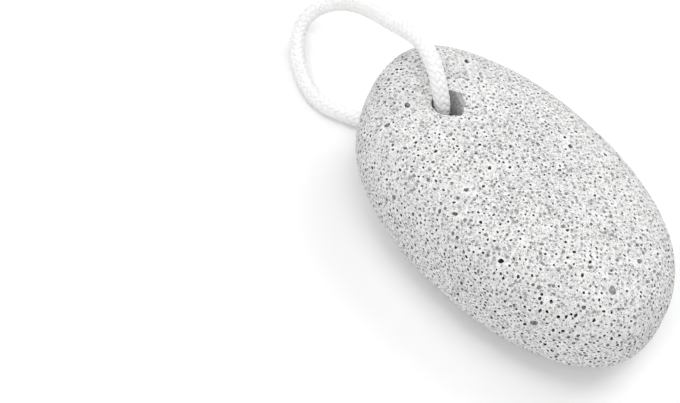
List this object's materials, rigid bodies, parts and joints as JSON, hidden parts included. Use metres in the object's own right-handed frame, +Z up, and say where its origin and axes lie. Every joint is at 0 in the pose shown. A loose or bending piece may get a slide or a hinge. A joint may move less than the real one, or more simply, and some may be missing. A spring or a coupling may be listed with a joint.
{
  "type": "pumice stone",
  "caption": "Oval pumice foot stone with a pitted surface, drilled through near one end, with a braided cord loop through the hole to hold or hang it by.",
  "frame": {"origin": "under the middle of the stone, on the surface it lies on", "axes": "+X along the stone, away from its drilled end; +Y across it; +Z up, through its thickness"},
  "size_m": [0.1371, 0.0579, 0.0442],
  "materials": {
    "pumice": "matt light grey, full of small open pores",
    "cotton_cord": "white round cotton braid"
  },
  "bodies": {
    "root": {"stone": "pumice", "cord": "cotton_cord", "knot": "cotton_cord"}
  },
  "joints": []
}
